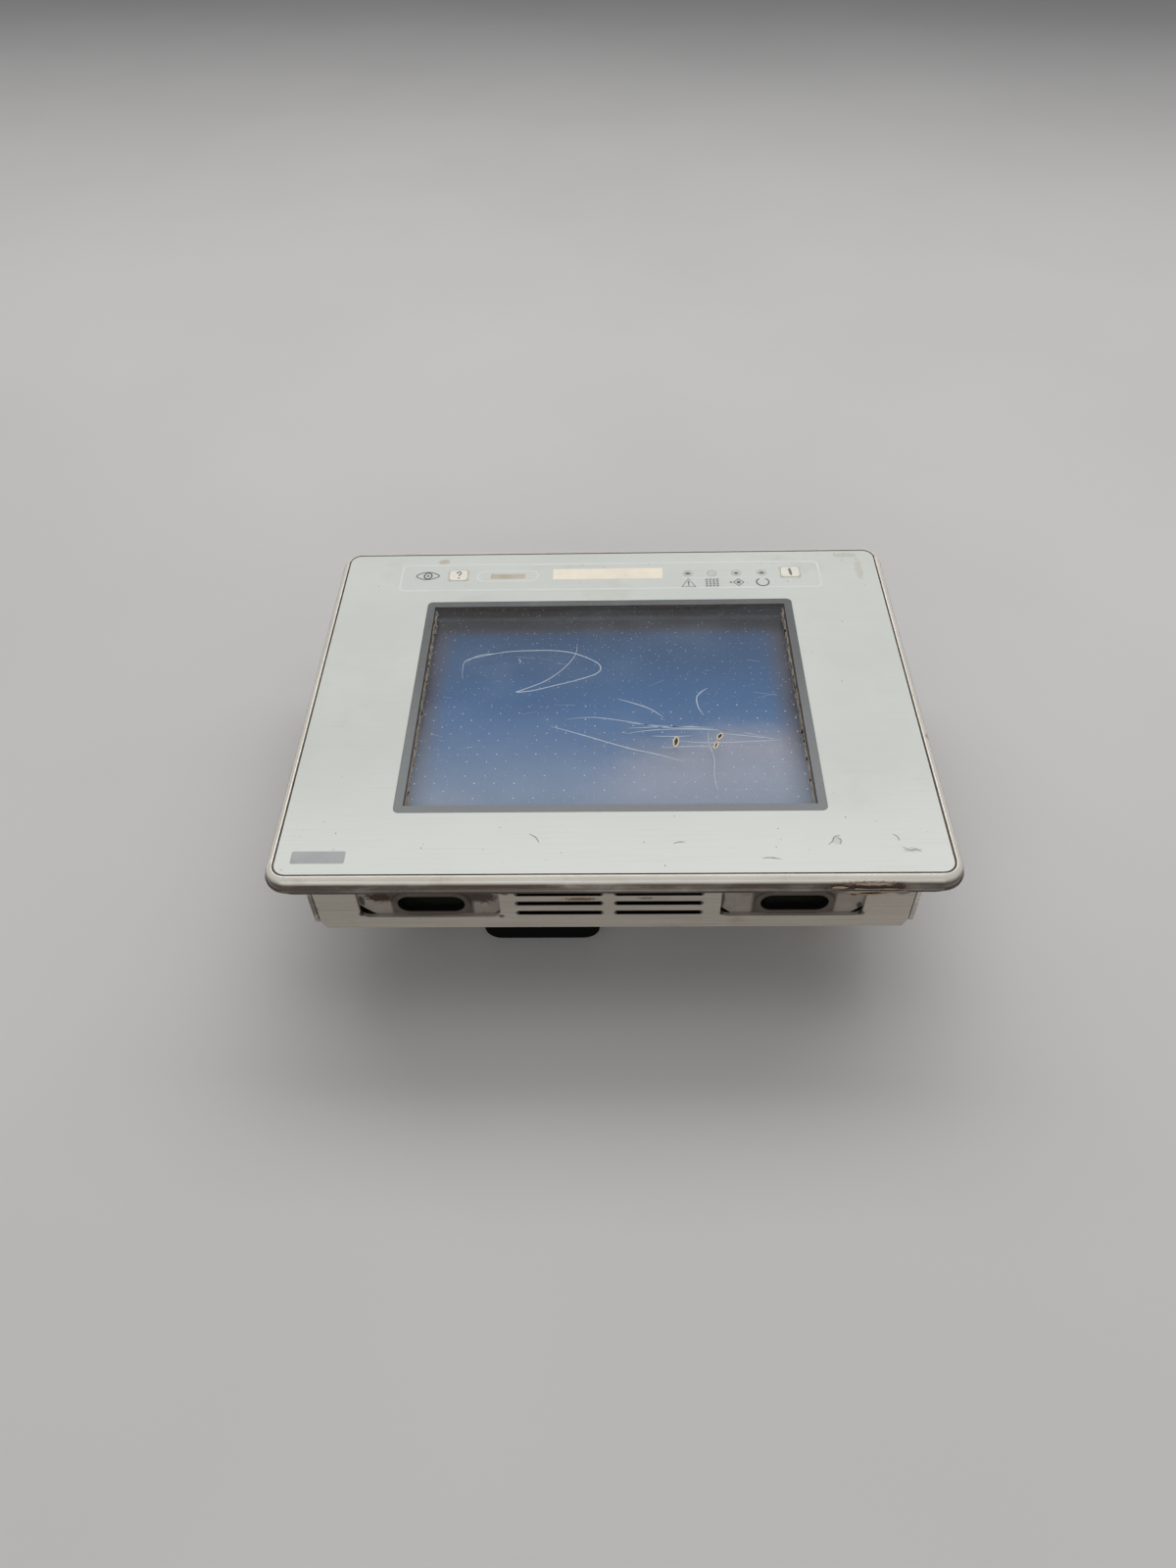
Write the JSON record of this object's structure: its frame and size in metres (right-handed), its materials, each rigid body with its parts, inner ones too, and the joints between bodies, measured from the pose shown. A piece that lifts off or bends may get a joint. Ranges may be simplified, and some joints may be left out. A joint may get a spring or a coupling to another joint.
{
  "type": "hmi touch panel",
  "caption": "Operator touch panel for a cabinet door: framed touch screen with key and lamp strip, sheet metal case, rear connector housing with a push-on port cap.",
  "frame": {"origin": "middle of the rear face of the connector housing, on which the panel lies", "axes": "+Z out of the screen face, +X along the long side of the face, +Y up the face"},
  "size_m": [0.187, 0.147, 0.0516],
  "materials": {
    "cast_frame": "satin powder coat",
    "overlay_print": "fine grained film",
    "dark_border": "satin",
    "touch_glass": "scratched clear",
    "foam_seal": "matte",
    "gasket_rubber": "matte",
    "key_cap": "satin",
    "clear_lens": "clear",
    "lamp_chip": "gloss",
    "dome_steel": "bright",
    "circuit_board": "solder mask",
    "flat_cable": "satin",
    "amber_film": "satin film",
    "zinc_sheet": "zinc plated",
    "clamp_steel": "dull zinc",
    "bright_sheet": "bright",
    "blank_plate": "satin",
    "lcd_glass": "gloss",
    "acrylic": "frosted",
    "lamp_tube": "gloss",
    "black_rubber": "matte",
    "black_moulding": "moulded",
    "chip_epoxy": "matte",
    "capacitor_sleeve": "sleeved",
    "cell_steel": "bright",
    "cream_moulding": "moulded",
    "wire_jacket": "satin",
    "transformer": "varnished",
    "bare_aluminium": "milled",
    "nickel_shell": "dull nickel",
    "gold_pin": "bright",
    "screw_steel": "zinc plated",
    "brass_stud": "dull"
  },
  "bodies": {
    "panel_unit": {"bezel_frame": "cast_frame", "front_overlay": "overlay_print", "window_surround": "dark_border", "touch_glass": "touch_glass", "lcd_dust_seal": "foam_seal", "panel_gasket": "gasket_rubber", "led_lenses": "clear_lens", "status_leds": "lamp_chip", "key_domes": "dome_steel", "led_board": "circuit_board", "led_ribbon": "flat_cable", "touch_flex": "amber_film", "front_chassis": "zinc_sheet", "rear_cover": "zinc_sheet", "clamp_plate_bottom_left": "clamp_steel", "clamp_plate_bottom_right": "clamp_steel", "clamp_plate_top_left": "clamp_steel", "clamp_plate_top_right": "clamp_steel", "rear_housing": "zinc_sheet", "rating_plate": "blank_plate", "lcd_frame": "bright_sheet", "lcd_glass": "lcd_glass", "light_guide": "acrylic", "backlight_lamp": "lamp_tube", "lamp_end_caps": "black_rubber", "lcd_driver_board": "circuit_board", "lcd_ribbon": "flat_cable", "main_board": "circuit_board", "processor": "chip_epoxy", "board_chips": "chip_epoxy", "main_capacitors": "capacitor_sleeve", "coin_cell": "cell_steel", "cell_holder": "black_moulding", "buzzer": "black_moulding", "main_headers": "cream_moulding", "inverter_board": "circuit_board", "inverter_transformer": "transformer", "lamp_wires": "wire_jacket", "board_standoffs": "nickel_shell", "power_board": "circuit_board", "power_transformer": "transformer", "power_capacitors": "capacitor_sleeve", "power_heatsink": "bare_aluminium", "link_wires": "wire_jacket", "dsub_shell": "nickel_shell", "dsub_insert": "black_moulding", "dsub_tails": "gold_pin", "dsub_jackscrews": "nickel_shell", "aux_port_shroud": "black_moulding", "aux_port_pins": "gold_pin", "power_header": "black_moulding", "power_header_pins": "gold_pin", "earth_stud": "brass_stud", "earth_nut": "brass_stud", "chassis_screws": "screw_steel", "case_screws": "screw_steel", "board_screws": "screw_steel"},
    "help_key_cap": {"help_key": "key_cap"},
    "alarm_key_cap": {"alarm_key": "key_cap"},
    "port_cap": {"dust_cap": "black_rubber"}
  },
  "joints": [
    {"name": "help_key_press", "type": "slide", "parent": "panel_unit", "child": "help_key_cap", "axis": [0, 0, -1], "range_m": [0, 0.00035], "stiffness_N_per_m": 1500},
    {"name": "alarm_key_press", "type": "slide", "parent": "panel_unit", "child": "alarm_key_cap", "axis": [0, 0, -1], "range_m": [0, 0.00035], "stiffness_N_per_m": 1500},
    {"name": "port_cap_pull", "type": "slide", "parent": "panel_unit", "child": "port_cap", "axis": [0, -1, 0], "range_m": [0, 0.014]}
  ]
}
